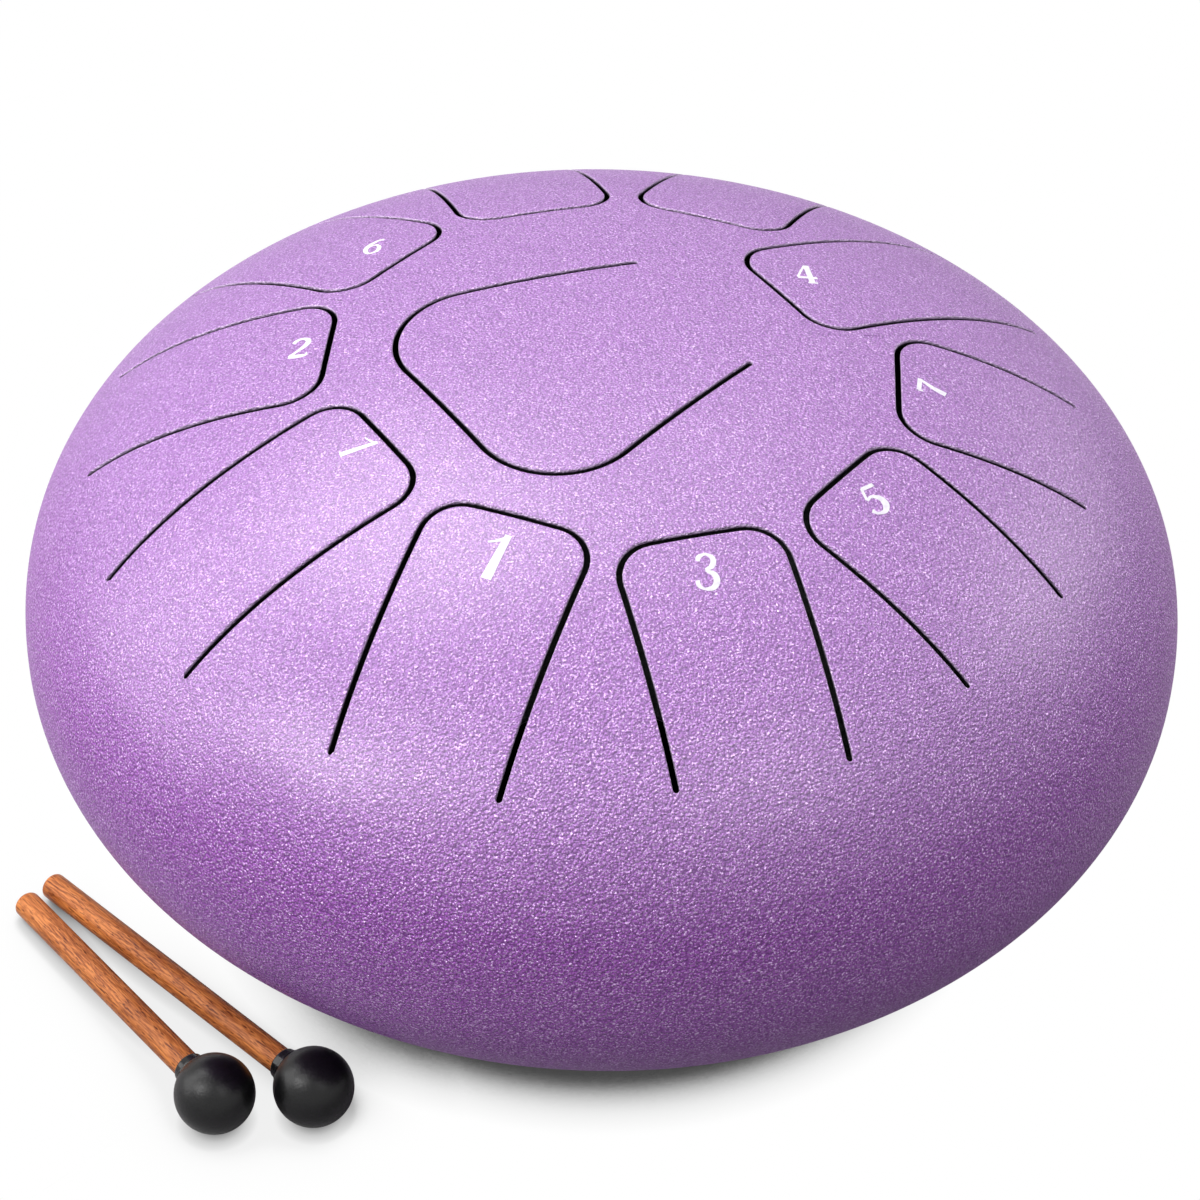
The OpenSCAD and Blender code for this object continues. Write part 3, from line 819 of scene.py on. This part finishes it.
print("mallets")
malletShape = dict(  # metres
    ball=0.021,
    stick=0.0074,
    stickEnd=0.001,  # rounding of the stick's free end
    collarWidth=0.0106,  # across the flange that meets the ball
    collarHeight=0.002,
    neckWidth=0.0091,  # across the rest of the collar
    flange=0.0008,  # its thickness
    seat=0.0003,  # how deep the collar sits in the ball
)
malletLayout = dict(
    left=dict(placeShares=(-0.631, -0.745), turn=130, reach=0.094),  # the head's place, of the drum's radius
    right=dict(placeShares=(-0.466, -0.725), turn=136.3, reach=0.110),
)
malletSteps = dict(around=72, shaft=40, end=4, ball=49, arc=6)


def malletAxes(layout):
    # the head's middle, the direction along the stick to its free end, and two directions across it
    drop = (malletShape["ball"] - malletShape["stick"]) / 2
    tilt = math.asin(drop / (layout["reach"] - malletShape["stickEnd"]))
    turn = math.radians(layout["turn"])
    along = np.array([math.cos(turn) * math.cos(tilt), math.sin(turn) * math.cos(tilt), -math.sin(tilt)])
    across = np.array([-math.sin(turn), math.cos(turn), 0.0])
    middle = np.array([*(rimRadius * np.array(layout["placeShares"])), malletShape["ball"] / 2])
    return middle, along, across, np.cross(along, across)


def roundAxis(profile, axes):
    # P(s, a) = M + s L + r (A cos a + B sin a) for a profile of (s, r)
    middle, along, across, upright = axes
    a = np.linspace(0, 2 * math.pi, malletSteps["around"], endpoint=False)[None, :, None]
    s, r = (np.asarray(profile)[:, k, None, None] for k in (0, 1))
    return middle + s * along + r * (across * np.cos(a) + upright * np.sin(a))


def roundPlaces(profile):
    # the same grid in the stick's own frame: along it, and the two directions across
    return roundAxis(profile, (np.zeros(3), *np.eye(3)))


def quarter(s, r, radius, first, last, steps=malletSteps["arc"]):
    # an arc of a profile about (s, r), from one angle to another in degrees
    a = np.radians(np.linspace(first, last, steps))
    return np.stack([s + radius * np.cos(a), r + radius * np.sin(a)], axis=-1)


def makeMallet(side, layout):
    # stick, collar and ball, each a profile turned about the stick's axis
    shape, axes, body = malletShape, malletAxes(layout), side + "_mallet"
    stickRadius, ballRadius, end = shape["stick"] / 2, shape["ball"] / 2, shape["stickEnd"]
    reach = layout["reach"]
    shaft = line((0, stickRadius), (reach - end, stickRadius), malletSteps["shaft"])
    rounded = quarter(reach - end, stickRadius - end, end, 90, 0)
    face = line((reach, stickRadius - end), (reach, 0), malletSteps["end"])
    stick = np.concatenate([[(0, 0)], shaft, rounded[1:], face[1:]])
    makePiece(body + "_shaft", [(roundAxis(stick, axes), True)], body, wood, [body + "_stick"],
              places=[roundPlaces(stick)])
    wide, neck, flange = shape["collarWidth"] / 2, shape["neckWidth"] / 2, shape["flange"]
    seat = math.sqrt(ballRadius ** 2 - wide ** 2) - shape["seat"]
    top = ballRadius + shape["collarHeight"]
    lip = flange / 4
    shoulder = neck - stickRadius - lip
    collar = np.concatenate([
        [(seat, stickRadius), (seat, wide - lip)],
        quarter(seat + lip, wide - lip, lip, 180, 90),
        quarter(seat + shape["seat"] + flange - lip, wide - lip, lip, 90, 0),
        quarter(seat + shape["seat"] + flange + lip, neck + lip, lip, 180, 270),
        quarter(top - shoulder, neck - lip - shoulder, shoulder, 90, 0),
        [(top, stickRadius), (seat, stickRadius)]])
    makePiece(body + "_ring", [(roundAxis(collar, axes), True)], body, collarGloss,
              [body + "_collar"])
    ball = quarter(0, 0, ballRadius, 180, 0, malletSteps["ball"])
    ball[[0, -1], 1] = 0
    makePiece(body + "_ball", [(roundAxis(ball, axes), True)], body, headRubber,
              [body + "_head"])


for side, layout in malletLayout.items():
    makeMallet(side, layout)

print("feet")
footShape = dict(  # metres
    ring=0.060,  # radius on which the feet stand
    topWidth=0.022,
    endWidth=0.018,
    web=0.004,  # rubber between the belly and the washer
    bore=0.0096,
    hole=0.0044,
    rounding=0.0009,
    boreRounding=0.0004,
    sunk=0.0008,  # how far the flat top reaches into the round belly
)
footSteps = dict(around=72, side=7, rounding=6)
footTurns = dict(front_left=225, front_right=315, back_left=135, back_right=45)


def makeFoot(name, turn):
    # Rings about the foot's leaning axis: M + s L + r (A cos a + B sin a). A ring lies at a distance s along
    # the axis, or where its cone meets a height.
    shape = footShape
    seat = drumShape["bellyHeight"] * math.sqrt(1 - (shape["ring"] / rimRadius) ** 2)
    lean = math.atan2(shape["ring"] / rimRadius ** 2, seat / drumShape["bellyHeight"] ** 2)
    turn = math.radians(turn)
    outward = np.array([math.cos(turn), math.sin(turn), 0.0])
    axis = outward * math.sin(lean) + np.array([0, 0, -math.cos(lean)])
    across = outward * math.cos(lean) + np.array([0, 0, math.sin(lean)])
    aside = np.cross(axis, across)
    start = outward * shape["ring"] + np.array([0, 0, rimHeight - seat])
    length = start[2] / math.cos(lean)
    a = np.linspace(0, 2 * math.pi, footSteps["around"], endpoint=False)

    def ring(radius, s, taper=0.0, pull=0.0):
        # its radius shrinks by the taper along the axis, and by the pull of a rounding
        s = s + 0 * a
        r = radius - taper * s - pull
        spokes = across * np.cos(a)[:, None] + aside * np.sin(a)[:, None]
        return start + s[:, None] * axis + r[:, None] * spokes

    def atHeight(radius, z, taper=0.0):
        # how far along the axis each side of the cone comes down to the height z
        rise = np.cos(a) * math.sin(lean)
        return (start[2] + radius * rise - z) / (math.cos(lean) + taper * rise)

    wide = shape["topWidth"] / 2
    taper = (shape["topWidth"] - shape["endWidth"]) / 2 / length
    bend, inner, bore, hole = shape["rounding"], shape["boreRounding"], shape["bore"] / 2, shape["hole"] / 2
    arc = [(1 - math.sin(b), 1 - math.cos(b)) for b in np.linspace(0, math.pi / 2, footSteps["rounding"])]
    first, last = -shape["sunk"], atHeight(wide, bend, taper)
    rings = [ring(wide, first + (last - first) * t, taper) for t in np.linspace(0, 1, footSteps["side"])]
    rings += [ring(wide, atHeight(wide, bend * z, taper), taper, bend * pull) for z, pull in arc[1:]]
    rings += [ring(bore + inner * pull, atHeight(bore, inner * z)) for z, pull in arc[::-1]]
    rings += [ring(bore, shape["web"]), ring(hole, shape["web"]), ring(hole, first), ring(wide, first, taper)]
    patch = np.stack(rings)
    patch[..., 2] = np.maximum(patch[..., 2], 0.0)
    makePiece("foot_pad_" + name, [(patch, True)], "drum", footRubber, ["foot_" + name])


for name, turn in footTurns.items():
    makeFoot(name, turn)
for name in ("foot_screws", "foot_washers", "foot_nuts"):
    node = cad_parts[name]
    node.data.materials.clear()
    node.data.materials.append(steel)

print("floor, light and background")
studio = dict(
    floorColour=(0.62, 0.62, 0.62),  # as the coat mirrors it
    bounceColour=(0.18, 0.17, 0.19),  # as it sends light back up
    shadeReach=0.030,  # metres over which the drum above darkens the floor
    # how open the floor is to the sky, and its tone there
    shadeRamp=[(0.50, 0.07), (0.612, 0.055), (0.628, 0.13), (0.655, 0.30), (0.70, 0.56), (0.78, 0.83),
               (0.85, 0.92), (0.95, 1.0)],
    shadeRadius=(0.114, 0.135),  # metres from the middle; beyond the second only outerShade of it is left
    outerShade=0.14,
    contactReach=0.006,  # the same, close to whatever touches the floor
    contactRamp=[(0.15, 0.12), (0.48, 0.70), (0.80, 1.0)],
    shadeSamples=48,
    darkRadius=(0.050, 0.064),  # painted shade: below the sound hole the floor is painted black inside the first radius
    plainRadius=0.24,  # the paper is plain white further out
    floorHalf=6.0,  # half the floor's width
    ambient=(0.15, 0.15, 0.15),
    lampDistance=1.2,  # metres, of every softbox
)
softboxes = dict(  # directions seen from the drum, in degrees from +x and above the horizon; sizes in metres
    highLeft=dict(turn=135, rise=60, size=(0.6, 0.6), power=7.5),
    highBack=dict(turn=90, rise=62, size=(0.7, 0.7), power=2.6),
    left=dict(turn=165, rise=40, size=(0.5, 0.4), power=1.9),
    lowLeft=dict(turn=180, rise=18, size=(0.8, 0.65), power=3.9),
    frontLeft=dict(turn=-150, rise=38, size=(0.45, 0.35), power=3.5),
    frontHigh=dict(turn=-135, rise=50, size=(0.6, 0.6), power=2.4),
    frontRight=dict(turn=-50, rise=50, size=(0.6, 0.6), power=1.7),
    right=dict(turn=20, rise=30, size=(0.6, 0.5), power=2.7),
    lowRight=dict(turn=40, rise=15, size=(0.6, 0.5), power=1.1),
)


def rayShare(tree, *rays):
    # 1 for any of the named rays
    path = addNode(tree, "ShaderNodeLightPath").outputs
    share = path[rays[0]]
    for ray in rays[1:]:
        share = addMath(tree, "MAXIMUM", share, path[ray])
    return share


def addPlain(tree, kind, colour):
    # a shader of one colour: an emission, a background or a diffuse surface
    return addNode(tree, kind, {"Color": (*colour, 1.0)}).outputs[0]


def mixShaders(tree, factor, first, second):
    return addNode(tree, "ShaderNodeMixShader", {0: factor, 1: first, 2: second}).outputs[0]


def makeFloor(setup):
    half = setup["floorHalf"]
    mesh = bpy.data.meshes.new("floor")
    corners = [(-half, -half, 0), (half, -half, 0), (half, half, 0), (-half, half, 0)]
    mesh.from_pydata(corners, [], [(0, 1, 2, 3)])
    floor = bpy.data.objects.new("floor", mesh)
    bpy.context.scene.collection.objects.link(floor)
    material = bpy.data.materials.new("floor_paper")
    material.use_nodes = True
    tree = material.node_tree
    tree.nodes.clear()
    place = addNode(tree, "ShaderNodeTexCoord").outputs["Object"]
    radius = addNode(tree, "ShaderNodeVectorMath", {0: place}, operation="LENGTH").outputs["Value"]

    def shading(reach, ramp):
        node = addNode(tree, "ShaderNodeAmbientOcclusion", {"Distance": reach}, samples=setup["shadeSamples"])
        return addRamp(tree, node.outputs["AO"], [(share, (tone,) * 3) for share, tone in ramp])

    black, white = (0.0, 0.0, 0.0), (1.0, 1.0, 1.0)
    faded = addRange(tree, radius, *setup["shadeRadius"], 0.0, 1 - setup["outerShade"], "SMOOTHSTEP")
    shade = mixColours(tree, faded, shading(setup["shadeReach"], setup["shadeRamp"]), white)
    contact = shading(setup["contactReach"], setup["contactRamp"])
    shade = mixColours(tree, 1.0, shade, contact, "MULTIPLY")
    # painted shade: the floor turns black below the sound hole
    shade = mixColours(tree, addRange(tree, radius, *setup["darkRadius"]), black, shade)
    seen = addNode(tree, "ShaderNodeEmission", {"Color": shade}).outputs[0]
    beyond = addMath(tree, "GREATER_THAN", radius, setup["plainRadius"])
    seen = mixShaders(tree, beyond, seen, addPlain(tree, "ShaderNodeEmission", white))
    bounce = addPlain(tree, "ShaderNodeBsdfDiffuse", setup["bounceColour"])
    mirrored = addPlain(tree, "ShaderNodeBsdfDiffuse", setup["floorColour"])
    mixed = mixShaders(tree, rayShare(tree, "Is Glossy Ray"), bounce, mirrored)
    mixed = mixShaders(tree, rayShare(tree, "Is Camera Ray", "Is Transmission Ray"), mixed, seen)
    clear = addNode(tree, "ShaderNodeBsdfTransparent").outputs[0]
    mixed = mixShaders(tree, addNode(tree, "ShaderNodeNewGeometry").outputs["Backfacing"], mixed, clear)
    addNode(tree, "ShaderNodeOutputMaterial", {0: mixed})
    mesh.materials.append(material)


def makeWorld(setup):
    world = bpy.data.worlds.new("studio")
    world.use_nodes = True
    bpy.context.scene.world = world
    tree = world.node_tree
    tree.nodes.clear()
    ambient = addPlain(tree, "ShaderNodeBackground", setup["ambient"])
    white = addPlain(tree, "ShaderNodeBackground", (1.0, 1.0, 1.0))
    seen = rayShare(tree, "Is Camera Ray", "Is Glossy Ray", "Is Transmission Ray")
    addNode(tree, "ShaderNodeOutputWorld", {0: mixShaders(tree, seen, ambient, white)})


def makeSoftbox(name, setup):
    data = bpy.data.lights.new(name, "AREA")
    data.shape = "RECTANGLE"
    data.size, data.size_y = setup["size"]
    data.energy = setup["power"]
    lamp = bpy.data.objects.new(name, data)
    turn, rise = math.radians(setup["turn"]), math.radians(setup["rise"])
    away = Vector((math.cos(turn) * math.cos(rise), math.sin(turn) * math.cos(rise), math.sin(rise)))
    lamp.location = Vector((0, 0, rimHeight)) + away * studio["lampDistance"]
    lamp.rotation_euler = (-away).to_track_quat("-Z", "Y").to_euler()
    lamp.visible_camera = False
    bpy.context.scene.collection.objects.link(lamp)


makeFloor(studio)
makeWorld(studio)
for name, setup in softboxes.items():
    makeSoftbox(name, setup)
bpy.context.scene.view_settings.view_transform = "Standard"
